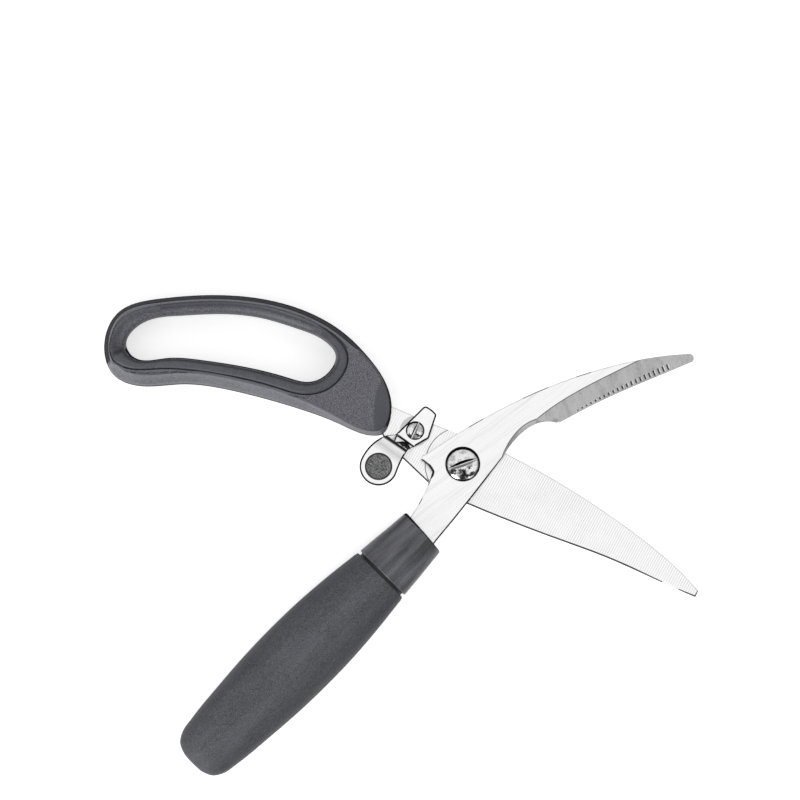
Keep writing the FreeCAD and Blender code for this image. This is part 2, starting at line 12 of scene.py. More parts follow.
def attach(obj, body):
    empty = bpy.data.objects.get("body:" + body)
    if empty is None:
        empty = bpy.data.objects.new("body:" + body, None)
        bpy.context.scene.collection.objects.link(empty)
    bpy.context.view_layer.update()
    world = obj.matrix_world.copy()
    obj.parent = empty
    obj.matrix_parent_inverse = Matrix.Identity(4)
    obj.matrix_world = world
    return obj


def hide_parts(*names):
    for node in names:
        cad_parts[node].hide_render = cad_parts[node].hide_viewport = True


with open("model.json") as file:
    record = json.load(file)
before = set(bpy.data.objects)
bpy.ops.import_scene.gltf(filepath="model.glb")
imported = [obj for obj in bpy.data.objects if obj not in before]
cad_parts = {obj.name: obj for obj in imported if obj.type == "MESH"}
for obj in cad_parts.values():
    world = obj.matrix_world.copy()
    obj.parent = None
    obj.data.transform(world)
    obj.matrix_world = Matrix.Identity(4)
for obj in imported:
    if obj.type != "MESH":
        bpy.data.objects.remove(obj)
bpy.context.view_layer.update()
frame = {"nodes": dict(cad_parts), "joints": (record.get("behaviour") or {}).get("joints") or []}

MM = 0.001
JOINTS = {joint["name"]: joint for joint in frame["joints"]}
PIVOT = Vector(JOINTS["blade_pivot"]["pos_m"])
PIVOT_MM = PIVOT / MM
LATCH_SCREW = Vector(JOINTS["latch_pivot"]["pos_m"])
LATCH_AT = tuple((LATCH_SCREW - PIVOT) / MM)[:2]

# Straight handle, in millimetres from the pivot, as in the CAD part.
HANDLE_DIRECTION = math.radians(225)
HANDLE_OFFSET = 7.9
HANDLE_CENTRE_Z = 1.5
HANDLE_FLATNESS = 0.66
HANDLE_SQUARENESS = 2.15
RING_COUNT = 96
COLLAR_SIDES = ((30.0, 10.3), (36.0, 10.8), (45.0, 11.7), (52.9, 12.4))
COLLAR_FRONT_ROUND = 0.9
COLLAR_BACK_ROUND = 0.7
COLLAR_SKEW = 0.07
# How far back from the collar's front the painted shade reaches.
COLLAR_DARK_FRONT = 0.42
GRIP_SIDES = (
    (54.0, 12.6), (70.0, 14.4), (85.0, 15.5), (98.0, 15.8), (112.6, 15.5), (130.0, 14.3),
    (146.0, 12.7), (152.5, 11.5), (156.0, 9.3), (157.9, 5.5), (158.3, 0.0),
)
GRIP_FRONT_ROUND = 0.8

# Loop handle: outlines in millimetres from the pivot, heights from the blades' meeting plane.
LOOP_OUTLINE = (
    (-34.2, 11.5), (-48.6, 16.0), (-65.7, 22.4), (-91.5, 29.4), (-112.0, 31.9), (-129.4, 31.4),
    (-138.4, 35.4), (-142.5, 46.6), (-137.1, 60.5), (-120.0, 66.2), (-98.5, 67.6), (-78.8, 65.9),
    (-61.4, 60.8), (-46.8, 52.2), (-37.3, 42.7), (-30.4, 32.4), (-28.1, 23.7), (-29.3, 15.2),
    (-31.2, 12.3),
)
RIM_OUTLINE = (
    (-60.6, 27.4), (-74.4, 30.4), (-91.5, 34.6), (-106.0, 36.9), (-120.0, 37.6), (-131.5, 37.6),
    (-138.6, 41.4), (-139.4, 49.6), (-134.0, 57.9), (-118.0, 62.7), (-98.5, 64.1), (-79.5, 62.5),
    (-63.0, 57.6), (-50.6, 50.4), (-45.4, 42.4), (-47.8, 34.6), (-53.4, 29.5),
)
HOLE_OUTLINE = (
    (-61.0, 32.8), (-69.0, 34.4), (-78.7, 37.1), (-91.5, 39.7), (-104.4, 41.6), (-118.0, 42.2),
    (-130.4, 42.6), (-133.7, 47.4), (-128.6, 55.6), (-113.1, 59.3), (-98.2, 60.0), (-78.8, 58.1),
    (-65.0, 53.9), (-54.4, 49.0), (-50.4, 43.6), (-53.4, 36.4),
)
LOOP_MIDDLE_Z = -1.5
LOOP_HALF_HEIGHT = 7.4

# X beyond which the loop's closed end has its own look, painted highlight over its top and painted light
# in its cove, and where the painted dark line by the rim ends.
BODY_END_X = -122
RIM_END_X = -120
DARK_LINE_X = -62

# The loop's front facet: its boundary, and how fast it falls beyond it.
FACET_Y = (8.0, 15.3, 19.8, 23.7, 29.0, 32.8, 34.0)
FACET_X = (-34.2, -34.6, -34.8, -34.6, -33.8, -32.3, -31.0)
FACET_FALL = 0.24

# Latch, in millimetres from its screw. The soft grey band of painted shade lies on the thumb plate, next
# to its bend.
LATCH_SHEET = 1.3
LATCH_TOP_Z = 9.6
LATCH_DIRECTION = math.radians(234)
WEB_END = 9.9
THUMB_AT = (-14.4, -14.6)
LATCH_AXIS = Vector((math.cos(LATCH_DIRECTION), math.sin(LATCH_DIRECTION), 0))
BAND_MIDDLE = LATCH_SCREW.dot(LATCH_AXIS) / MM + WEB_END + 2.6
BAND_HALF_WIDTH = 3.0
BAND_SHADE = 0.32
PAD_RADIUS = 5.4
PAD_RISE = 0.35
# Width of the painted shade round the pad's edge, standing in for the gap's shadow.
PAD_DARK_EDGE = 0.55

# Screw heads, in millimetres from the blades' meeting plane, with slopes in radians. The dark ring
# is the width of painted shade round the rim.
ScrewHead = namedtuple("ScrewHead", (
    "radius", "low", "rise", "crown_slope", "rim_slope", "slot_turn", "slot_floor", "slot_widths",
    "slot_reach", "dark_ring",
))
PIVOT_HEAD = ScrewHead(
    radius=6.9, low=3.0, rise=2.7, crown_slope=math.radians(20), rim_slope=math.radians(47),
    slot_turn=math.radians(19.5), slot_floor=4.4, slot_widths=(0.3, 2.5), slot_reach=9,
    dark_ring=0.6,
)
LATCH_HEAD = ScrewHead(
    radius=3.7, low=2.25, rise=2.0, crown_slope=math.radians(22), rim_slope=math.radians(50),
    slot_turn=math.radians(65), slot_floor=3.25, slot_widths=(0.4, 1.5), slot_reach=6,
    dark_ring=0.4,
)

# Steel edges, in millimetres: chamfer widths and drops, and how much wider the ones with painted shade
# are.
BLADE_CHAMFER = 0.34
BLADE_FRONT_DROP = 0.26
BLADE_BACK_DROP = 0.09
DARK_EDGE_EXTRA = 0.22
EAR_EXTRA = 0.34
LATCH_CHAMFER = 0.40
LATCH_DROP = 0.2
LATCH_RIM_EXTRA = 0.24

# The serrations lie along this direction and between these X, and the ear's end, whose edge gets painted
# shade, in this box.
CUTTING_EDGE = Vector((0.91, 0.41, 0))
FLUTES_X = (43, 88)
EAR_END_X = -9
EAR_END_Y = (-7.5, 0.5)

# A face is level where the Z of its normal is more than this.
LEVEL = 0.995


# ---------------------------------------------------------------- geometry helpers

def natural_spacing(points):
    """Lengths along a line of points, from its first one."""
    return np.concatenate([[0.0], np.cumsum(np.linalg.norm(np.diff(points, axis=0), axis=1))])


def eased(value, low, high):
    """0 below low, 1 above high, and a smooth rise between."""
    share = np.clip((value - low) / (high - low), 0, 1)
    return share * share * (3 - 2 * share)


def closed_curve(points, count):
    """Points on the smooth closed curve through the given ones: as many as count says, evenly
    spaced, or 4000 where it is None."""
    ring = np.array(list(points) + [points[0]], float)
    knots = natural_spacing(ring)
    n = len(points)
    gaps = np.diff(knots)
    system = np.zeros((n, n))
    right = np.zeros((n, 2))
    slopes = np.diff(ring, axis=0) / gaps[:, None]
    for i in range(n):
        before = gaps[i - 1]
        after = gaps[i]
        system[i, i - 1] += before
        system[i, i] += 2 * (before + after)
        system[i, (i + 1) % n] += after
        right[i] = 6 * (slopes[i] - slopes[i - 1])
    bend = np.linalg.solve(system, right)
    bend = np.vstack([bend, bend[:1]])
    dense = np.linspace(0, knots[-1], 4001)[:-1]
    span = np.clip(np.searchsorted(knots, dense, side="right") - 1, 0, n - 1)
    low = (knots[span + 1] - dense)[:, None]
    high = (dense - knots[span])[:, None]
    gap = gaps[span][:, None]
    curve = (bend[span] * low ** 3 + bend[span + 1] * high ** 3) / (6 * gap)
    curve += (ring[span] / gap - bend[span] * gap / 6) * low
    curve += (ring[span + 1] / gap - bend[span + 1] * gap / 6) * high
    if count is None:
        return curve
    around = natural_spacing(np.vstack([curve, curve[:1]]))
    wanted = np.linspace(0, around[-1], count + 1)[:-1]
    whole = np.vstack([curve, curve[:1]])
    return np.stack([np.interp(wanted, around, whole[:, axis]) for axis in (0, 1)], axis=1)


def smooth_line(points, wanted):
    """Heights of the smooth open curve through (place, height) points, at the wanted places."""
    known = np.array(points, float)
    slopes = np.gradient(known[:, 1], known[:, 0])
    span = np.clip(np.searchsorted(known[:, 0], wanted, side="right") - 1, 0, len(known) - 2)
    gap = known[span + 1, 0] - known[span, 0]
    t = (wanted - known[span, 0]) / gap
    t2, t3 = t * t, t * t * t
    start = (2 * t3 - 3 * t2 + 1) * known[span, 1] + (t3 - 2 * t2 + t) * gap * slopes[span]
    end = (3 * t2 - 2 * t3) * known[span + 1, 1] + (t3 - t2) * gap * slopes[span + 1]
    return start + end


def nearest_on(curve, points):
    """For each point, the nearest point of a dense closed curve."""
    found = []
    for point in points:
        away = np.linalg.norm(curve - point, axis=1)
        found.append(curve[int(np.argmin(away))])
    return np.array(found)


def to_row(points):
    """Millimetres from the pivot to metres in the row frame."""
    return np.asarray(points, float) * MM + np.array(PIVOT)


def new_piece(name, vertices, faces, material_index=None, smooth=True):
    """An object from vertices in the row frame and faces, linked into the scene."""
    mesh = bpy.data.meshes.new(name)
    mesh.from_pydata([tuple(v) for v in vertices], [], [tuple(f) for f in faces])
    mesh.validate()
    if material_index is not None:
        mesh.polygons.foreach_set("material_index", material_index)
    mesh.polygons.foreach_set("use_smooth", [smooth] * len(mesh.polygons))
    mesh.update()
    piece = bpy.data.objects.new(name, mesh)
    bpy.context.scene.collection.objects.link(piece)
    return piece


def grid_faces(rows, columns, close_rows=False, close_columns=False):
    """Faces of a grid of vertices, optionally closed on itself either way."""
    faces = []
    for r in range(rows if close_rows else rows - 1):
        for c in range(columns if close_columns else columns - 1):
            r2 = (r + 1) % rows
            c2 = (c + 1) % columns
            faces.append((r * columns + c, r * columns + c2, r2 * columns + c2, r2 * columns + c))
    return faces


def outward(piece):
    """Turns a closed piece's faces outwards."""
    mesh = bmesh.new()
    mesh.from_mesh(piece.data)
    bmesh.ops.remove_doubles(mesh, verts=mesh.verts, dist=1e-7)
    bmesh.ops.recalc_face_normals(mesh, faces=mesh.faces)
    mesh.to_mesh(piece.data)
    mesh.free()
    return piece


def apply_modifiers(piece):
    """Makes the piece's modifiers part of its mesh."""
    bpy.context.view_layer.update()
    graph = bpy.context.evaluated_depsgraph_get()
    mesh = bpy.data.meshes.new_from_object(piece.evaluated_get(graph))
    piece.modifiers.clear()
    piece.data = mesh


def finish_piece(piece, body, nodes, materials):
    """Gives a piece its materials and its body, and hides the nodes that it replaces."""
    keep = [face.material_index for face in piece.data.polygons]
    piece.data.materials.clear()
    for material in materials:
        piece.data.materials.append(material)
    piece.data.polygons.foreach_set("material_index", keep)
    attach(piece, body)
    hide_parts(*nodes)


# ---------------------------------------------------------------- materials

class Nodes:
    """A short way to write a node tree."""

    def __init__(self, tree):
        self.tree = tree

    def add(self, kind, **settings):
        node = self.tree.nodes.new(kind)
        for key, value in settings.items():
            if key in node.inputs:
                node.inputs[key].default_value = value
            else:
                setattr(node, key, value)
        return node

    def link(self, output, target):
        self.tree.links.new(output, target)

    def place(self, scale=(1, 1, 1), turn=0.0):
        """Object coordinates in millimetres, turned about Z, then scaled."""
        coordinates = self.add("ShaderNodeTexCoord")
        turned = self.add("ShaderNodeVectorRotate", rotation_type="Z_AXIS")
        turned.inputs["Angle"].default_value = -turn
        self.link(coordinates.outputs["Object"], turned.inputs["Vector"])
        mapping = self.add("ShaderNodeMapping")
        mapping.inputs["Scale"].default_value = [s / MM for s in scale]
        self.link(turned.outputs["Vector"], mapping.inputs["Vector"])
        return mapping.outputs["Vector"]

    def noise(self, vector, scale, detail, roughness):
        node = self.add("ShaderNodeTexNoise", Scale=scale, Detail=detail, Roughness=roughness)
        self.link(vector, node.inputs["Vector"])
        return node.outputs["Fac"]

    def remap(self, value, low, high, to_low, to_high):
        node = self.add("ShaderNodeMapRange")
        limits = {"From Min": low, "From Max": high, "To Min": to_low, "To Max": to_high}
        for key, number in limits.items():
            node.inputs[key].default_value = number
        self.link(value, node.inputs["Value"])
        return node.outputs["Result"]

    def ramp(self, value, stops):
        node = self.add("ShaderNodeValToRGB")
        elements = node.color_ramp.elements
        while len(elements) < len(stops):
            elements.new(0.5)
        for element, (place, colour) in zip(elements, stops):
            element.position = place
            element.color = (*colour, 1)
        self.link(value, node.inputs["Fac"])
        return node.outputs["Color"]

    def maths(self, operation, one, two):
        node = self.add("ShaderNodeMath", operation=operation)
        for index, value in enumerate((one, two)):
            if isinstance(value, (int, float)):
                node.inputs[index].default_value = value
            else:
                self.link(value, node.inputs[index])
        return node.outputs["Value"]

    def mix(self, factor, one, two):
        node = self.add("ShaderNodeMix", data_type="RGBA")
        self.link(factor, node.inputs["Factor"])
        for socket, value in ((node.inputs[6], one), (node.inputs[7], two)):
            if isinstance(value, tuple):
                socket.default_value = (*value, 1)
            else:
                self.link(value, socket)
        return node.outputs[2]


class Surface(Nodes):
    """A node material."""

    def __init__(self, name):
        self.material = bpy.data.materials.new(name)
        self.material.use_nodes = True
        super().__init__(self.material.node_tree)
        self.shader = self.tree.nodes["Principled BSDF"]

    def set(self, **values):
        for key, value in values.items():
            self.shader.inputs[key.replace("_", " ")].default_value = value

    def bump(self, height, strength, distance):
        node = self.add("ShaderNodeBump", Strength=strength, Distance=distance * MM)
        self.link(height, node.inputs["Height"])
        self.link(node.outputs["Normal"], self.shader.inputs["Normal"])

    def colour(self, output):
        self.link(output, self.shader.inputs["Base Color"])

    def rough(self, output):
        self.link(output, self.shader.inputs["Roughness"])


def grey(value):
    return (value, value, value)


def times(colour, factor):
    return tuple(part * factor for part in colour)


def moulded_plastic(name, colour, grain, grain_depth, roughness, specks=0.0, gloss=0.45, streaks=0.0,
                    fade=(0.08, 0.42, 0.88), turned=0.0):
    """Moulded plastic: fine grain, a slight cloudiness and, on grained faces, light specks. Streaks of
    painted highlight follow the straight handle. Steep faces fade towards black as painted shade:
    fully, by the third figure of fade, where the normal's Z is its first figure, and not at all from its
    second. A turned piece also gets painted shade towards its front right."""
    n = Surface(name)
    place = n.place()
    fine = n.noise(place, grain, 3.0, 0.7)
    cloud = n.noise(place, 0.07, 3.0, 0.5)
    speckled = n.remap(fine, 0.25, 0.75, -specks, specks)
    shade = n.maths("ADD", n.remap(cloud, 0.3, 0.7, -0.06, 0.06), speckled)
    if streaks:
        streak_highlights = n.noise(n.place((0.02, 0.22, 0.22), HANDLE_DIRECTION), 1.0, 3.0, 0.6)
        shade = n.maths("ADD", shade, n.remap(streak_highlights, 0.35, 0.65, -streaks, streaks))
    tone = n.remap(shade, -0.5, 0.5, 0.0, 1.0)
    surface = n.ramp(tone, ((0.0, times(colour, 0.3)), (1.0, times(colour, 1.7))))
    coordinates = n.add("ShaderNodeTexCoord")
    split = n.add("ShaderNodeSeparateXYZ")
    n.link(coordinates.outputs["Normal"], split.inputs["Vector"])
    painted_shade = n.remap(n.maths("ABSOLUTE", split.outputs["Z"], 0.0), fade[0], fade[1], fade[2], 0.0)
    if turned:
        sideways = n.maths("SUBTRACT", split.outputs["X"], split.outputs["Y"])
        painted_shade = n.maths("MAXIMUM", painted_shade, n.remap(sideways, 0.0, 1.0, 0.0, turned))
    n.colour(n.mix(painted_shade, surface, times(colour, 0.2)))
    n.rough(n.remap(fine, 0.3, 0.7, roughness - 0.06, roughness + 0.08))
    n.bump(fine, 0.6, grain_depth)
    n.set(Specular_IOR_Level=gloss)
    return n.material


def brushed_steel(name, base, streak_turn, streak_contrast, roughness, grind=None):
    """Brushed steel: long fine scratches along one direction, and optional regular grind lines
    given as (turn, pitch in millimetres, contrast)."""
    n = Surface(name)
    long_place = n.place((0.05, 2.2, 2.2), streak_turn)
    streaks = n.noise(long_place, 1.0, 6.0, 0.75)
    broad = n.noise(n.place((0.012, 0.35, 0.35), streak_turn), 1.0, 3.0, 0.6)
    tone = n.maths("ADD", n.remap(streaks, 0.3, 0.7, -streak_contrast, streak_contrast),
                   n.remap(broad, 0.3, 0.7, -streak_contrast * 0.6, streak_contrast * 0.6))
    height = streaks
    if grind:
        turn, pitch, contrast = grind
        wave = n.add("ShaderNodeTexWave", Scale=1.0, Distortion=0.25, Detail=2.0)
        wave.inputs["Detail Scale"].default_value = 0.8
        n.link(n.place((0.314 / pitch, 0.02, 0.02), turn), wave.inputs["Vector"])
        patches = n.remap(n.noise(n.place(), 0.12, 2.0, 0.5), 0.35, 0.65, 0.45, 1.0)
        groove = n.remap(wave.outputs["Fac"], 0.0, 0.55, -contrast, contrast * 0.25)
        tone = n.maths("ADD", tone, n.maths("MULTIPLY", groove, patches))
        height = n.maths("ADD", height, n.maths("MULTIPLY", wave.outputs["Fac"], 0.5))
    lift = n.remap(tone, -0.5, 0.5, 0.0, 1.0)
    light = tuple(min(1.0, part) for part in times(base, 1.25))
    n.colour(n.ramp(lift, ((0.0, times(base, 0.3)), (0.5, base), (1.0, light))))
    n.rough(n.remap(streaks, 0.3, 0.7, roughness - 0.05, roughness + 0.07))
    n.bump(height, 0.25, 0.02)
    n.set(Metallic=1.0, Anisotropic=0.5)
    return n.material


def polished_steel(name, value, roughness, shadow=None):
    """Chrome or mirror steel with faint wiping marks. A shadow is a soft grey band of painted shade
    across it, given as (direction, its middle along that in millimetres, half-width, shade)."""
    n = Surface(name)
    place = n.place()
    smear = n.noise(place, 0.35, 4.0, 0.6)
    scratches = n.noise(n.place((0.3, 6.0, 6.0), 0.7), 1.0, 3.0, 0.7)
    tone = n.ramp(smear, ((0.3, grey(value * 0.92)), (0.7, grey(value))))
    if shadow:
        direction, middle, half, shade = shadow
        split = n.add("ShaderNodeSeparateXYZ")
        n.link(n.place(turn=direction), split.inputs["Vector"])
        away = n.maths("ABSOLUTE", n.maths("SUBTRACT", split.outputs["X"], middle), 0.0)
        tone = n.mix(n.remap(away, 0.0, half, shade, 0.0), tone, grey(0.0))
    n.colour(tone)
    smeared = n.remap(smear, 0.3, 0.7, roughness * 0.6, roughness * 1.5)
    n.rough(n.maths("ADD", smeared, n.remap(scratches, 0.5, 0.8, 0.0, 0.05)))
    n.bump(scratches, 0.05, 0.01)
    n.set(Metallic=1.0)
    return n.material


def mottled_steel(name, roughness, shades):
    """Polished steel with painted reflections: light and dark patches, in four shades from the darkest
    patch on.
    """
    n = Surface(name)
    place = n.place()
    reflection_patches = n.noise(place, 0.42, 3.0, 0.55)
    fine = n.noise(place, 2.0, 3.0, 0.7)
    tone = n.maths("ADD", reflection_patches, n.remap(fine, 0.3, 0.7, -0.05, 0.05))
    n.colour(n.ramp(tone, list(zip((0.40, 0.47, 0.53, 0.7), map(grey, shades)))))
    n.rough(n.remap(fine, 0.3, 0.7, roughness - 0.05, roughness + 0.08))
    n.bump(fine, 0.2, 0.01)
    n.set(Metallic=1.0)
    return n.material


MATERIALS = {
    # loop handle
    "web": moulded_plastic(
        "handle_grained", (0.120, 0.120, 0.139), 3.8, 0.10, 0.50, specks=2.2),
    "smooth": moulded_plastic("handle_smooth", (0.074, 0.075, 0.089), 2.0, 0.02, 0.42, specks=0.2),
    "rim": moulded_plastic("rim_satin", (0.076, 0.077, 0.09), 2.2, 0.025, 0.44, specks=0.45),
    # painted light: the rim's cove on the upper beam and the closed end, lighter than the rest of the rim
    "cove": moulded_plastic("rim_cove_painted_light", (0.108, 0.109, 0.126), 2.2, 0.03, 0.46, specks=0.7),
    # painted highlight: the lighter crest of the ridge, the top of the closed end and the lower flank that
    # faces the front
    "ridge": moulded_plastic(
        "handle_ridge_painted_highlight", (0.165, 0.166, 0.188), 2.4, 0.03, 0.42, specks=0.5),
    # painted shade: the near-black outer edge rows of the loop, the hole's edge on the rim's low side and
    # the collar's front
    "shade": moulded_plastic(
        "plastic_painted_shade", (0.017, 0.017, 0.020), 2.0, 0.02, 0.85, specks=0.1, gloss=0.02),
    # painted shade: the outer flank on the loop's upper side and closed end, and a dark line along the rim
    # on the low side
    "flank": moulded_plastic(
        "plastic_flank_painted_shade", (0.03, 0.03, 0.036), 2.2, 0.02, 0.7, specks=0.3, gloss=0.15),
    # straight handle
    # collar and grip: painted highlight in streaks along the handle and painted shade on their steep
    # sides; the grip also darkens towards its front right
    "collar": moulded_plastic(
        "collar_satin", (0.090, 0.091, 0.103), 2.5, 0.01, 0.33, specks=0.3, streaks=0.42,
        fade=(0.1, 0.9, 0.5)),
    "grip": moulded_plastic(
        "grip_rubber", (0.080, 0.081, 0.093), 2.4, 0.05, 0.60, specks=0.7, streaks=0.12,
        fade=(0.1, 0.98, 0.6), turned=0.42),
    "core": moulded_plastic("core_plastic", grey(0.014), 3.0, 0.03, 0.5, specks=0.1),
    # blades; the bright sides of the flutes are a matt painted highlight, so that they don't mirror the
    # dark horizon
    "upper": brushed_steel("upper_blade_steel", grey(0.94), math.radians(37), 0.11, 0.24),
    "lower": brushed_steel(
        "lower_blade_steel", grey(0.96), math.radians(-35), 0.02, 0.26,
        (math.radians(-28), 0.95, 0.16)),
    "ground": brushed_steel("steel_bevel", grey(0.57), math.radians(115), 0.22, 0.36),
    # painted shade and painted light on the blades' edges: dark where they look to the front, light
    # elsewhere, with a dark line at the bevels
    "edge": brushed_steel("steel_edges_painted_shade", grey(0.03), 0.2, 0.15, 0.45),
    "light_edge": brushed_steel("steel_edges_painted_light", grey(0.80), 0.2, 0.20, 0.45),
    "outline": brushed_steel("steel_bevel_painted_shade_line", grey(0.12), 0.2, 0.15, 0.40),
    # painted shade on the serrations' walls that lean one way, painted highlight (glint) on those that
    # lean the other
    "flute": brushed_steel("steel_flutes", grey(0.10), math.radians(115), 0.10, 0.35),
    "glint": moulded_plastic(
        "steel_flutes_painted_glint", (0.86, 0.86, 0.88), 2.0, 0.02, 0.5, specks=0.1,
        fade=(0.0, 0.1, 0.2)),
    # latch
    # mirror steel with a soft band of painted shade on the thumb plate next to the bend
    "latch": polished_steel(
        "latch_mirror", 0.95, 0.05, (LATCH_DIRECTION, BAND_MIDDLE, BAND_HALF_WIDTH, BAND_SHADE)),
    # painted shade on the latch's rims and bends, where they would mirror dark surroundings
    "latch_rims_painted_shade": polished_steel("latch_rims_painted_shade", 0.015, 0.4),
    "pad": moulded_plastic("pad_rubber", (0.142, 0.142, 0.145), 1.7, 0.08, 0.60, specks=1.7),
    "pad_edge_painted_shade": moulded_plastic("pad_edge_painted_shade", (0.012, 0.012, 0.013), 1.8, 0.02, 0.5, specks=0.05),
    # screws and hardware; the slots' back walls are a matt painted light for the same reason as the
    # flutes, and their front walls painted shade
    # painted reflections on the screw heads: mild mottling, stronger on the front half, and a ring of
    # painted shade round the rim
    "screw": mottled_steel("screw_chrome", 0.14, (0.46, 0.66, 0.82, 0.76)),
    "screw_painted_reflection": mottled_steel("screw_painted_reflection", 0.16, (0.03, 0.25, 0.95, 0.75)),
    "screw_rim": polished_steel("screw_rim_painted_shade", 0.02, 0.3),
    "slot_dark": polished_steel("slot_wall_painted_shade", 0.006, 0.5),
    "slot_grey": moulded_plastic(
        "slot_wall_painted_light", grey(0.40), 2.0, 0.02, 0.4, specks=0.3, fade=(0.0, 0.1, 0.2)),
    "hardware": brushed_steel("hardware_steel", grey(0.62), 0.4, 0.08, 0.3),
    "spring": brushed_steel("spring_steel", grey(0.45), 1.2, 0.08, 0.32),
}


def finishes(*keys):
    return [MATERIALS[key] for key in keys]


# ---------------------------------------------------------------- straight handle

def handle_ring(along, half):
    """One ring of the straight handle: a slightly squared ellipse across its axis."""
    angles = np.linspace(0, 2 * math.pi, RING_COUNT, endpoint=False)
    power = 2 / HANDLE_SQUARENESS
    across = np.sign(np.cos(angles)) * np.abs(np.cos(angles)) ** power * half
    height = np.sign(np.sin(angles)) * np.abs(np.sin(angles)) ** power * half * HANDLE_FLATNESS
    axis = np.array([math.cos(HANDLE_DIRECTION), math.sin(HANDLE_DIRECTION)])
    side = np.array([-axis[1], axis[0]])
    flat = axis * np.reshape(along, (-1, 1)) + side * (HANDLE_OFFSET + across)[:, None]
    return np.column_stack([flat, HANDLE_CENTRE_Z + height])


def handle_piece(name, stations, skew=0.0):
    """A closed skin through rings given as (distance from the pivot, half-width). The first three
    millimetres may be skewed, so that the front face isn't square to the handle."""
    angles = np.linspace(0, 2 * math.pi, RING_COUNT, endpoint=False)
    rings = []
    for along, half in stations:
        rings.append(handle_ring(along + skew * half * np.cos(angles), half))
        if along > stations[0][0] + 3:
            skew = 0.0
    faces = grid_faces(len(rings), RING_COUNT, close_columns=True)
    return outward(new_piece(name, to_row(np.vstack(rings)), faces))


def rounded_edge(station, radius, steps):
    """Stations round an edge of the handle, from its end face to its side. A negative radius is
    for the back end."""
    along, half = station
    size = abs(radius)
    turns = np.linspace(math.pi / 2, 0, steps)
    return [(along + radius * (1 - math.sin(a)), half - size * (1 - math.cos(a))) for a in turns]


def make_collar():
    """The satin collar, whose front face carries painted shade."""
    start = COLLAR_SIDES[0][0]
    end = COLLAR_SIDES[-1][0]
    places = np.linspace(start + 1.2, end - 0.8, 12)
    sides = list(zip(places, np.interp(places, *np.transpose(COLLAR_SIDES))))
    front = rounded_edge(COLLAR_SIDES[0], COLLAR_FRONT_ROUND, 7)
    back = rounded_edge(COLLAR_SIDES[-1], -COLLAR_BACK_ROUND, 7)[::-1]
    stations = [(start + 1.0, 5.0), (start, 7.0)] + front + sides + back + [(end, 8.0)]
    piece = handle_piece("grip_collar_shell", stations, skew=COLLAR_SKEW)
    for face in piece.data.polygons:
        spot = (face.center - PIVOT) / MM
        along = spot.x * math.cos(HANDLE_DIRECTION) + spot.y * math.sin(HANDLE_DIRECTION)
        face.material_index = 1 if along < start + COLLAR_DARK_FRONT else 0
    plastics = finishes("collar", "shade")
    finish_piece(piece, "straight_side", ["grip_collar"], plastics)


def make_grip():
    """The soft sleeve, closed round the butt."""
    sides = np.array(GRIP_SIDES)
    start = GRIP_SIDES[0][0]
    lead = natural_spacing(sides)
    wanted = np.linspace(0, lead[-1], 70)
    along = smooth_line(list(zip(lead, sides[:, 0])), wanted)
    half = np.maximum(smooth_line(list(zip(lead, sides[:, 1])), wanted), 0.02)
    front = rounded_edge(GRIP_SIDES[0], GRIP_FRONT_ROUND, 6)
    rest = [station for station in zip(along, half) if station[0] > start + 1.2]
    piece = handle_piece("grip_sleeve_shell", [(start + 1.0, 8.0), (start, 9.0)] + front + rest)
    finish_piece(piece, "straight_side", ["grip_sleeve"], finishes("grip"))


# ---------------------------------------------------------------- loop handle

def facing(curve):
    """Inward directions of a closed curve's points."""
    ahead = np.roll(curve, -1, axis=0) - np.roll(curve, 1, axis=0)
    normal = np.column_stack([ahead[:, 1], -ahead[:, 0]])
    normal /= np.linalg.norm(normal, axis=1)[:, None]
    centre = curve.mean(axis=0)
    flip = np.sign(np.sum((centre - curve) * normal))
    return normal * flip


# Rows of the loop's skin, as (distance inwards, half-height): round its edge, and on over a flank
# that is either level or swells to a ridge. LAND_ROWS more lead to the rim.
EDGE_ROWS = ((0.0, 0.0), (0.06, 0.8), (0.2, 1.7), (0.42, 2.7), (0.7, 3.5))
RIDGE_ROWS = ((1.1, 4.6), (1.8, 5.9), (2.3, 6.6), (2.65, 7.0), (2.9, 7.27), (3.08, 7.34))
LAND_ROWS = 34
FIRST_LAND = len(EDGE_ROWS) + len(RIDGE_ROWS) - 1
LAST_LAND = FIRST_LAND + LAND_ROWS - 1


def body_profile(width, flank, ridged, groove):
    """Distances inwards from the outer edge and half-heights, for one station of the loop. The
    skin climbs a drafted flank and runs level to the rim, or, where ridged, swells to a ridge and
    dips again. It ends in a groove of the stated depth along the rim."""
    full = LOOP_HALF_HEIGHT
    level_rows = (
        (0.5 * flank, 4.3), (flank - 0.75, 6.1), (flank - 0.35, 6.78),
        (flank, full - 0.2), (flank + 0.35, full - 0.04), (flank + 0.6, full),
    )
    rows = [
        (level[0] + (ridge[0] - level[0]) * ridged, level[1] + (ridge[1] - level[1]) * ridged)
        for level, ridge in zip(level_rows, RIDGE_ROWS)
    ]
    start, height = rows[-1]
    dip = 0.75 * ridged
    for share in np.linspace(0, 1, LAND_ROWS)[1:]:
        rows.append((start + (width - 0.32 - start) * share, height - dip * share ** 1.4))
    last = rows[-1][1]
    rows.append((width - 0.2, last - 0.12 * groove))
    rows.append((width - 0.1, last - 0.4 * groove))
    rows.append((width - 0.05, last - groove))
    return list(EDGE_ROWS) + rows + [(width - 0.05, 0.0)]


def past_facet_line(spots):
    """How far points of the loop lie in front of the facet's boundary."""
    past = np.clip(spots[..., 0] - np.interp(spots[..., 1], FACET_Y, FACET_X), 0, None)
    return np.where(spots[..., 1] < FACET_Y[-1], past, 0)


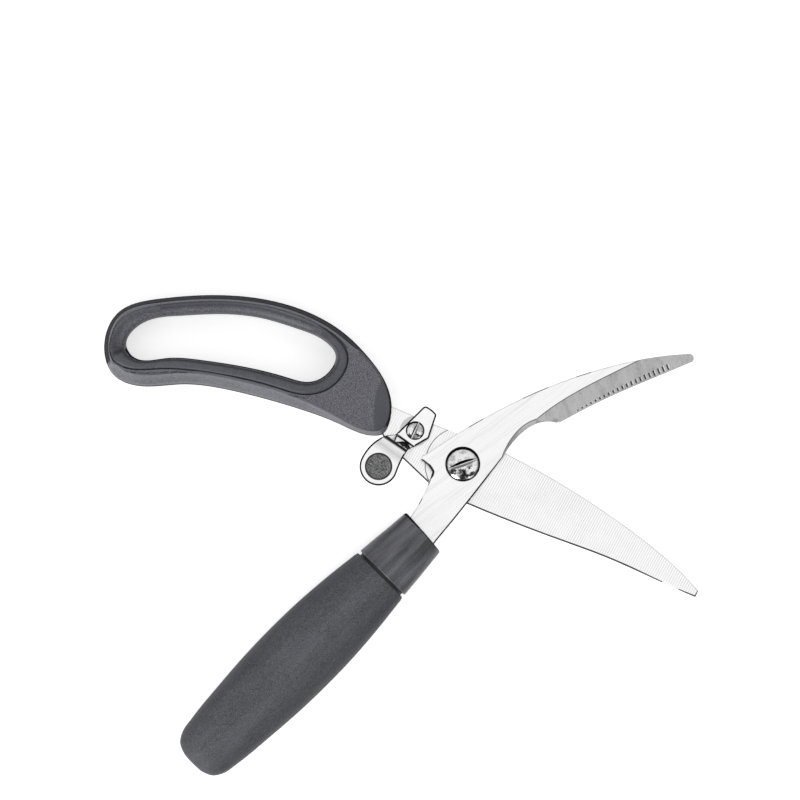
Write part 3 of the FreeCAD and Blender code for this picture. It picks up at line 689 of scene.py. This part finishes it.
def body_paint(column, low_side, ridged, width, from_rim, x, on_facet):
    """Which of the body's five materials a face gets: painted shade on the outer edge rows, the
    upper flank and a line by the rim, painted highlight on the ridge and the lower flank. Columns
    count from the outer edge.
    """
    smooth, web, shade, flank, ridge = range(5)
    if column < (2 if low_side > 0.3 else 4):
        return shade
    if column < 7 and low_side < 0.3:
        return flank
    if column < FIRST_LAND - 3 and low_side > 0.5:
        return ridge
    if low_side > 0.7 and x < DARK_LINE_X and abs(from_rim - 1.5) < 0.14:
        return flank
    ridge_end = LAST_LAND if x < BODY_END_X else FIRST_LAND + 3
    if FIRST_LAND - 3 <= column < ridge_end and ridged > 0.4:
        return ridge
    grained = FIRST_LAND <= column < LAST_LAND and width > 5 and not on_facet
    return web if grained else smooth


def make_loop_body():
    """The loop handle's body: a skin from its outer edge to the rim, the same above and below."""
    outer = closed_curve(LOOP_OUTLINE, 480)
    across = nearest_on(closed_curve(RIM_OUTLINE, None), outer) - outer
    width = np.linalg.norm(across, axis=1)
    across /= width[:, None]
    low_side = eased(facing(outer)[:, 1], 0.2, 0.75)
    flank = 1.5 + low_side * (0.6 + 2.2 * np.clip((-35 - outer[:, 0]) / 40, 0, 1))
    ridged = (1 - low_side) * (1 - eased(width, 4.6, 7.5))
    groove = np.maximum(low_side, eased(width, 4.6, 7.5))
    profiles = np.array([body_profile(*station) for station in zip(width, flank, ridged, groove)])
    inwards = np.minimum(profiles[:, :, 0], width[:, None] - 0.05)
    spots = outer[:, None] + across[:, None] * inwards[:, :, None]
    past = past_facet_line(spots)
    facet = LOOP_HALF_HEIGHT - 0.05 * np.clip(past / 0.2, 0, 1) - FACET_FALL * past
    heights = np.minimum(profiles[:, :, 1], np.maximum(facet, 0))
    top = np.dstack([spots, LOOP_MIDDLE_Z + heights])
    bottom = np.dstack([spots, LOOP_MIDDLE_Z - heights])[:, ::-1][:, 1:-1]
    ring = np.concatenate([top, bottom], axis=1)
    rows, wide = ring.shape[:2]
    columns = profiles.shape[1]
    index = []
    for row in range(rows):
        for place in range(wide):
            column = place if place < columns else 2 * columns - 3 - place
            from_rim = width[row] - profiles[row, column, 0]
            index.append(body_paint(
                column, low_side[row], ridged[row], width[row], from_rim, outer[row, 0],
                past[row, column] > 0.05,
            ))
    faces = grid_faces(rows, wide, close_rows=True, close_columns=True)
    piece = outward(new_piece("loop_handle_shell", to_row(ring.reshape(-1, 3)), faces, index))
    plastics = finishes("smooth", "web", "shade", "flank", "ridge")
    finish_piece(piece, "loop_side", ["loop_handle_body"], plastics)


# The rim's two sections, as (share of the way to the hole, half-height): a cove on the far side
# and a round land on the near one.
RIM_COVE = (
    (0.0, 6.6), (0.1, 6.3), (0.22, 5.8), (0.36, 5.0), (0.5, 4.4), (0.64, 4.0), (0.78, 3.6),
    (0.9, 2.9), (0.97, 1.9), (1.0, 0.6),
)
RIM_ROUND = (
    (0.0, 6.5), (0.03, 7.1), (0.08, 7.5), (0.2, 7.8), (0.34, 7.9), (0.46, 7.9), (0.6, 7.8),
    (0.72, 7.4), (0.84, 6.5), (0.93, 5.0), (1.0, 2.2),
)
RIM_PLACES = (0.0, 0.015, 0.03, 0.05, 0.08, 0.12, *np.linspace(0.16, 0.9, 20), 0.94, 0.965, 0.985, 1.0)


def make_loop_rim():
    """The liner round the finger hole, blended from a cove into a round land, with painted shade
    along the hole's edge on its low side and painted light in the cove.
    """
    outer = closed_curve(RIM_OUTLINE, 420)
    across = nearest_on(closed_curve(HOLE_OUTLINE, None), outer) - outer
    gap = np.linalg.norm(across, axis=1)
    places = np.array(RIM_PLACES)
    low_side = eased(facing(outer)[:, 1], -0.1, 0.6)
    share = np.maximum(low_side, eased(outer[:, 0], -60, -50))[:, None]
    heights = smooth_line(RIM_COVE, places) * (1 - share) + smooth_line(RIM_ROUND, places) * share
    spots = outer[:, None, :] + across[:, None, :] * places[None, :, None]
    top = np.dstack([spots, LOOP_MIDDLE_Z + heights])
    bottom = np.dstack([spots, LOOP_MIDDLE_Z - np.minimum(heights, LOOP_HALF_HEIGHT)])[:, ::-1]
    ring = np.concatenate([top, bottom], axis=1)
    rows, wide = ring.shape[:2]
    index = []
    for row in range(rows):
        cove_start = 0.0 if outer[row, 0] < RIM_END_X else 0.3
        dark_width = 0.85 * eased(low_side[row], 0.3, 0.95)
        for column in range(wide):
            place = places[min(column, wide - 2 - column)]
            in_cove = share[row, 0] < 0.5 and cove_start <= place < 0.93
            shaded = (1 - place) * gap[row] < dark_width
            index.append(1 if shaded else 2 if in_cove else 0)
    faces = grid_faces(rows, wide, close_rows=True, close_columns=True)
    piece = outward(new_piece("loop_rim_shell", to_row(ring.reshape(-1, 3)), faces, index))
    plastics = finishes("rim", "shade", "cove")
    finish_piece(piece, "loop_side", ["loop_handle_rim"], plastics)


# ---------------------------------------------------------------- screws and pads

def lathe(name, profile, segments=96):
    """Turns (radius, height) points about the Z axis; the piece is still in millimetres."""
    angles = np.linspace(0, 2 * math.pi, segments, endpoint=False)
    circle = np.column_stack([np.cos(angles), np.sin(angles)])
    rings = [np.column_stack([circle * radius, np.full(segments, height)]) for radius, height in profile]
    faces = grid_faces(len(rings), segments, close_columns=True)
    faces.append(tuple(range(segments)))
    faces.append(tuple(range((len(rings) - 1) * segments, len(rings) * segments)))
    return outward(new_piece(name, np.vstack(rings), faces))


def move_to_row(piece, centre):
    """Takes a piece from millimetres about a centre to metres in the row frame."""
    places = np.empty(len(piece.data.vertices) * 3)
    piece.data.vertices.foreach_get("co", places)
    places = to_row(places.reshape(-1, 3) + np.array([centre[0], centre[1], 0.0]))
    piece.data.vertices.foreach_set("co", places.ravel())
    piece.data.update()
    return piece


def cut_slot(piece, head):
    """Cuts a straight slot with leaning walls across a screw head. Its floor keeps the head's
    material, the wall that faces the front gets the next one, painted shade, and the other wall the
    third, painted light."""
    floor_half, mouth_half = head.slot_widths[0] / 2, head.slot_widths[1] / 2
    low = head.slot_floor
    top = head.low + head.rise
    far_half = mouth_half + (mouth_half - floor_half) * 2 / (top - low)
    section = [(-floor_half, low), (floor_half, low), (far_half, top + 2), (-far_half, top + 2)]
    along = np.array([math.cos(head.slot_turn), math.sin(head.slot_turn)])
    across = np.array([-along[1], along[0]])
    corners = [
        (*(along * end * head.slot_reach + across * side), height)
        for end in (-1, 1) for side, height in section
    ]
    faces = [(0, 1, 2, 3), (7, 6, 5, 4)] + [(i, i + 4, (i + 1) % 4 + 4, (i + 1) % 4) for i in range(4)]
    cutter = outward(new_piece("slot_block", corners, faces, smooth=False))
    cut = piece.modifiers.new("slot", "BOOLEAN")
    cut.object = cutter
    cut.operation = "DIFFERENCE"
    cut.solver = "EXACT"
    apply_modifiers(piece)
    bpy.data.objects.remove(cutter)
    for face in piece.data.polygons:
        lean = face.normal.to_2d().dot(across)
        aside = abs(face.center.to_2d().dot(across))
        wall = aside < mouth_half * 1.05 and abs(lean) > 0.6 and face.center.z > low
        face.material_index = (1 if lean < 0 else 2) if wall else 0
    piece.data.set_sharp_from_angle(angle=math.radians(32))


def dome_profile(head):
    """A domed head: a short straight side, then a crown whose slope grows steadily to three
    quarters of the radius and quickly beyond."""
    radius, low = head.radius, head.low
    turn_at = radius * 0.76
    places = np.linspace(0.02 * radius, radius, 60)
    beyond = np.clip((places - turn_at) / (radius - turn_at), 0, 1) ** 1.2
    steepening = head.crown_slope + (head.rim_slope - head.crown_slope) * beyond
    slope = np.where(places < turn_at, head.crown_slope * places / turn_at, steepening)
    steps = np.diff(places) * np.tan((slope[1:] + slope[:-1]) / 2)
    heights = low + head.rise - np.concatenate([[0.0], np.cumsum(steps)])
    side = [(radius - 0.3, low), (radius - 0.05, low + 0.08), (radius, low + 0.16)]
    crown = list(zip(places, heights))[::-1]
    return side + [spot for spot in crown if spot[1] > low + 0.2]


def shade_head(piece, head):
    """Paints shade on the rim of a domed head, wider at the back, and stronger painted reflections on
    the front half.
    """
    for face in piece.data.polygons:
        x, y, z = face.center
        out = math.hypot(x, y)
        if face.material_index:
            continue
        if out > head.radius - head.dark_ring * (1 + 1.1 * max(0.0, y / out)):
            face.material_index = 3
        elif y < -0.1 * head.radius and z > head.slot_floor + 0.02:
            face.material_index = 4


def make_screw(node, body, head, centre, segments):
    """A screw's slotted domed head, which is all of it that shows from above."""
    piece = lathe(node + "_head", dome_profile(head), segments)
    cut_slot(piece, head)
    shade_head(piece, head)
    move_to_row(piece, centre)
    chrome = finishes("screw", "slot_dark", "slot_grey", "screw_rim", "screw_painted_reflection")
    finish_piece(piece, body, [node], chrome)


def make_pad():
    """The rubber disc in the thumb plate: a rounded edge with painted shade and a grained, hardly domed
    face.
    """
    centre = (LATCH_AT[0] + THUMB_AT[0], LATCH_AT[1] + THUMB_AT[1])
    top = LATCH_TOP_Z + LATCH_SHEET + PAD_RISE
    edge_rows = ((0.05, 1.0), (0.0, 0.6), (0.02, 0.35), (0.12, 0.18), (0.38, 0.10))
    edge = [(PAD_RADIUS - inwards, top - drop) for inwards, drop in edge_rows]
    face_shares = (0.88, 0.75, 0.6, 0.45, 0.3, 0.15, 0.03)
    face = [(PAD_RADIUS * share, top - 0.10 * share ** 2) for share in face_shares]
    pad = move_to_row(lathe("latch_pad_disc", edge + face), centre)
    middle = Vector(to_row((*centre, 0))).to_2d()
    for polygon in pad.data.polygons:
        away = (polygon.center.to_2d() - middle).length / MM
        polygon.material_index = 1 if away > PAD_RADIUS - PAD_DARK_EDGE else 0
    finish_piece(pad, "latch", ["latch_pad"], finishes("pad", "pad_edge_painted_shade"))


# ---------------------------------------------------------------- blades and latch

# The order of a blade's materials. DARK_EDGE, OUTLINE and FLUTE carry painted shade, LIGHT_EDGE painted
# light and GLINT a painted highlight.
FACE, GROUND, DARK_EDGE, LIGHT_EDGE, OUTLINE, FLUTE, GLINT = range(7)


def merged_copy(node):
    """A CAD mesh in millimetres, with its flat faces merged."""
    source = frame["nodes"][node]
    mesh = bmesh.new()
    mesh.from_mesh(source.data)
    mesh.transform(Matrix.Scale(1 / MM, 4) @ source.matrix_world)
    bmesh.ops.remove_doubles(mesh, verts=mesh.verts, dist=1e-4)
    bmesh.ops.dissolve_limit(mesh, angle_limit=math.radians(0.6), verts=mesh.verts, edges=mesh.edges)
    return mesh


def chamfer_skin(mesh, skin, width, drop, back_drop):
    """Chamfers the rim of a skin of faces, less deeply where it looks to the back. Returns the
    strips and, for each of them, the face beyond it."""
    skin = bmesh.ops.triangulate(mesh, faces=skin)["faces"]
    inside = set(skin)
    strips = bmesh.ops.inset_region(
        mesh, faces=skin, thickness=width, use_even_offset=True, use_boundary=True)["faces"]
    chosen = set(strips) | inside
    beyond = {}
    for strip in strips:
        others = [face for edge in strip.edges for face in edge.link_faces if face not in chosen]
        beyond[strip] = others[0] if others else strip
    for corner in {corner for strip in strips for corner in strip.verts}:
        steep = [face for face in corner.link_faces if face not in chosen and abs(face.normal.z) < 0.3]
        if steep and not any(face in inside for face in corner.link_faces):
            wanted = drop if min(face.normal.y for face in steep) < -0.15 else back_drop
            corner.co.z -= min(wanted, 0.7 * min(height_of(face) for face in steep))
    return strips, beyond


def widen_strips(strips, chosen, extra):
    """Moves the inner side of the chosen strips further into the skin, except where they meet
    other strips. It acts on crossings of 0.2 to 0.6 mm, and so not on an edge along a strip."""
    around = set(strips)
    others = around - set(chosen)
    moves = {}
    for strip in chosen:
        for edge in strip.edges:
            inner = [
                corner for corner in edge.verts
                if any(face not in around and face.normal.z > LEVEL for face in corner.link_faces)
            ]
            if len(inner) != 1 or any(face in others for face in inner[0].link_faces):
                continue
            heading = (inner[0].co - edge.other_vert(inner[0]).co).to_2d()
            if 0.2 < heading.length < 0.6:
                moves[inner[0]] = heading.normalized() * extra
    for corner, move in moves.items():
        corner.co.x += move.x
        corner.co.y += move.y


def height_of(face):
    """How far a face reaches in Z."""
    heights = [corner.co.z for corner in face.verts]
    return max(heights) - min(heights)


def finished_copy(mesh, name, sharp):
    """An object from a mesh in millimetres, with sharp edges above an angle and flat level faces."""
    mesh.transform(Matrix.Scale(MM, 4))
    data = bpy.data.meshes.new(name)
    mesh.to_mesh(data)
    mesh.free()
    data.set_sharp_from_angle(angle=math.radians(sharp))
    data.polygons.foreach_set("use_smooth", [abs(face.normal.z) < LEVEL for face in data.polygons])
    piece = bpy.data.objects.new(name, data)
    bpy.context.scene.collection.objects.link(piece)
    return piece


def plain_steel(face):
    """A blade face's material by how it leans. Nothing lights the edges that look to the front, so they
    get painted shade; the other edges get painted light.
    """
    up = abs(face.normal.z)
    if up > LEVEL:
        return FACE
    if up > 0.5:
        return GROUND
    return DARK_EDGE if face.normal.y < -0.15 else LIGHT_EDGE


def flute_paint(face):
    """FLUTE (painted shade) or GLINT (painted highlight) for a small wall of a serration near the
    bevel, and otherwise None.
    """
    place = face.calc_center_median() - PIVOT_MM
    reach = [corner.co.dot(CUTTING_EDGE) for corner in face.verts]
    leans = face.normal.dot(CUTTING_EDGE)
    on_bevel = abs(leans) < 0.12 and max(reach) - min(reach) > 0.42
    near = FLUTES_X[0] < place.x < FLUTES_X[1] and place.z > 0.3 and face.normal.z > -0.4
    if face.calc_area() >= 1.3 or on_bevel or not near:
        return None
    return FLUTE if leans > -0.38 else GLINT


def strip_paint(node, neighbour, on_ear):
    """A chamfer strip's material by the face beyond it: a line of painted shade next to bevels and low
    walls (painted light on the lower blade's low walls), painted shade where it looks to the front or
    at the ear's end, and painted light elsewhere.
    """
    low_wall = height_of(neighbour) < 1.0
    if node == "lower_blade" and low_wall and neighbour.normal.z < 0.4:
        return LIGHT_EDGE
    if neighbour.normal.z > 0.4 or low_wall:
        return OUTLINE
    return DARK_EDGE if neighbour.normal.y < -0.15 or on_ear else LIGHT_EDGE


def make_blade(node, name, body, face_key):
    """A blade whose faces, ground bevels and edges each have their own steel; its edges and serrations
    carry painted shade and painted light.
    """
    mesh = merged_copy(node)
    for face in mesh.faces:
        face.material_index = plain_steel(face)
        if face.material_index != FACE:
            face.material_index = flute_paint(face) or face.material_index
    top = max(corner.co.z for corner in mesh.verts)
    skin = [
        face for face in mesh.faces
        if face.normal.z > LEVEL and face.calc_center_median().z > top - 0.05
    ]
    strips, beyond = chamfer_skin(mesh, skin, BLADE_CHAMFER, BLADE_FRONT_DROP, BLADE_BACK_DROP)
    ear = []
    for strip in strips:
        place = strip.calc_center_median() - PIVOT_MM
        at_ear_end = place.x < EAR_END_X and EAR_END_Y[0] < place.y < EAR_END_Y[1]
        on_ear = node == "upper_blade" and at_ear_end
        strip.material_index = strip_paint(node, beyond[strip], on_ear)
        if on_ear and strip.material_index == DARK_EDGE:
            ear.append(strip)
    dark = [strip for strip in strips if strip.material_index == DARK_EDGE]
    widen_strips(strips, dark, DARK_EDGE_EXTRA)
    widen_strips(strips, ear, EAR_EXTRA)
    steels = finishes(face_key, "ground", "edge", "light_edge", "outline", "flute", "glint")
    finish_piece(finished_copy(mesh, name, 24), body, [node], steels)


def make_latch():
    """The bent sheet: its rims and its bends carry painted shade, its faces are mirrors."""
    mesh = merged_copy("latch_lever")
    for face in mesh.faces:
        # the bends and the side walls get painted shade
        in_bend = 0.44 < face.normal.z < 0.72
        face.material_index = 1 if in_bend or abs(face.normal.z) <= 0.3 else 0
    skin = [face for face in mesh.faces if face.normal.z > 0.3]
    strips, beyond = chamfer_skin(mesh, skin, LATCH_CHAMFER, LATCH_DROP, LATCH_DROP)
    pad_centre = Vector(LATCH_AT) + Vector(THUMB_AT)
    rim = []
    for strip in strips:
        place = (strip.calc_center_median() - PIVOT_MM).to_2d()
        if (place - pad_centre).length > PAD_RADIUS + 1:
            rim.append(strip)
            strip.material_index = 1
            continue
        level = max(corner.co.z for corner in strip.verts)
        for corner in strip.verts:
            corner.co.z = level
    widen_strips(strips, rim, LATCH_RIM_EXTRA)
    piece = finished_copy(mesh, "latch_lever_sheet", 28)
    finish_piece(piece, "latch", ["latch_lever"], finishes("latch", "latch_rims_painted_shade"))


# ---------------------------------------------------------------- CAD pieces that stay

KEPT = {
    "pivot_bushing": "hardware", "pivot_cone_washer": "hardware", "pivot_nut": "screw",
    "opening_stop_pin": "hardware", "opening_spring": "spring", "grip_core": "core",
    "grip_tang_pins": "hardware", "loop_tang_pins": "hardware", "latch_washer": "hardware",
    "latch_nut": "hardware",
}


def paint_kept():
    """Gives the CAD pieces that stay a finished material."""
    for node, key in KEPT.items():
        mesh = frame["nodes"][node].data
        mesh.materials.clear()
        mesh.materials.append(MATERIALS[key])


# ---------------------------------------------------------------- stage

def make_stage():
    """A white floor just under the shears, which glows a little and so stays white."""
    half = 3.0
    level = -0.0004
    corners = [(-half, -half, level), (half, -half, level), (half, half, level), (-half, half, level)]
    floor = new_piece("floor", corners, [(0, 1, 2, 3)], smooth=False)
    n = Surface("floor_white")
    n.set(Base_Color=(0.88, 0.88, 0.88, 1), Roughness=0.9)
    n.set(Emission_Color=(1, 1, 1, 1), Emission_Strength=0.55)
    floor.data.materials.append(n.material)


def area_light(name, place, aim, size, power):
    """A rectangular lamp at a place, turned towards another."""
    light = bpy.data.lights.new(name, "AREA")
    light.shape = "RECTANGLE"
    light.size, light.size_y = size
    light.energy = power
    lamp = bpy.data.objects.new(name, light)
    lamp.location = place
    lamp.rotation_euler = (Vector(aim) - Vector(place)).to_track_quat("-Z", "Y").to_euler()
    bpy.context.scene.collection.objects.link(lamp)


# The dark card's half-width and near edge, as parts of a unit direction, and its softness.
CARD_HALF_WIDTH = 0.24
CARD_START = -0.26
CARD_BLUR = 0.1
CARD_SHADE = 0.30

# Brightness of the studio by height above the horizon (sine of the elevation).
SKY = ((0.0, 0.02), (0.18, 0.03), (0.42, 0.12), (0.62, 0.75), (0.80, 0.98), (1.0, 1.0))


def make_light():
    """A white tent overhead with a dark band round the horizon, which draws the steel's edges."""
    middle = (0, 0.03, 0)
    area_light("front_left", (-0.75, -1.15, 0.85), middle, (0.7, 0.6), 12.5)
    area_light("front_right", (0.85, -1.1, 0.8), middle, (0.6, 0.6), 1.2)
    world = bpy.data.worlds.new("studio")
    world.use_nodes = True
    background = world.node_tree.nodes["Background"]
    sky = Nodes(world.node_tree)
    split = sky.add("ShaderNodeSeparateXYZ")
    sky.link(sky.add("ShaderNodeTexCoord").outputs["Generated"], split.inputs["Vector"])
    tent = sky.ramp(split.outputs["Z"], [(height, grey(value)) for height, value in SKY])
    sky.link(tent, background.inputs["Color"])
    sky.link(dark_card(sky, split), background.inputs["Strength"])
    bpy.context.scene.world = world
    bpy.context.scene.view_settings.view_transform = "Standard"


def dark_card(sky, split):
    """A narrow darker patch of the tent on the front side, where a photographer would stand."""
    sideways = sky.maths("ABSOLUTE", split.outputs["X"], 0.0)
    narrow = sky.remap(sideways, CARD_HALF_WIDTH - CARD_BLUR, CARD_HALF_WIDTH + CARD_BLUR, 1.0, 0.0)
    front = sky.remap(split.outputs["Y"], CARD_START - CARD_BLUR, CARD_START + CARD_BLUR, 1.0, 0.0)
    return sky.remap(sky.maths("MULTIPLY", narrow, front), 0.0, 1.0, 1.0, CARD_SHADE)


def make_camera():
    """Looks straight down, leaning a little towards the straight handle's side."""
    lean = math.radians(4)
    distance = 1.2
    frame_width = 0.3175
    aim = Vector((-0.0001, 0.053, PIVOT.z))
    camera = bpy.data.cameras.new("camera")
    camera.sensor_width = 36
    camera.lens = 36 * distance / frame_width
    rig = bpy.data.objects.new("camera", camera)
    rig.location = aim + Vector((0, -math.sin(lean), math.cos(lean))) * distance
    rig.rotation_euler = (lean, 0, 0)
    bpy.context.scene.collection.objects.link(rig)
    bpy.context.scene.camera = rig


make_stage()
make_light()
make_camera()
paint_kept()
make_collar()
make_grip()
make_loop_body()
make_loop_rim()
make_screw("pivot_screw", "straight_side", PIVOT_HEAD, (0, 0), 96)
make_screw("latch_screw", "loop_side", LATCH_HEAD, LATCH_AT, 72)
make_pad()
make_blade("upper_blade", "upper_blade_ground", "straight_side", "upper")
make_blade("lower_blade", "lower_blade_ground", "loop_side", "lower")
make_latch()
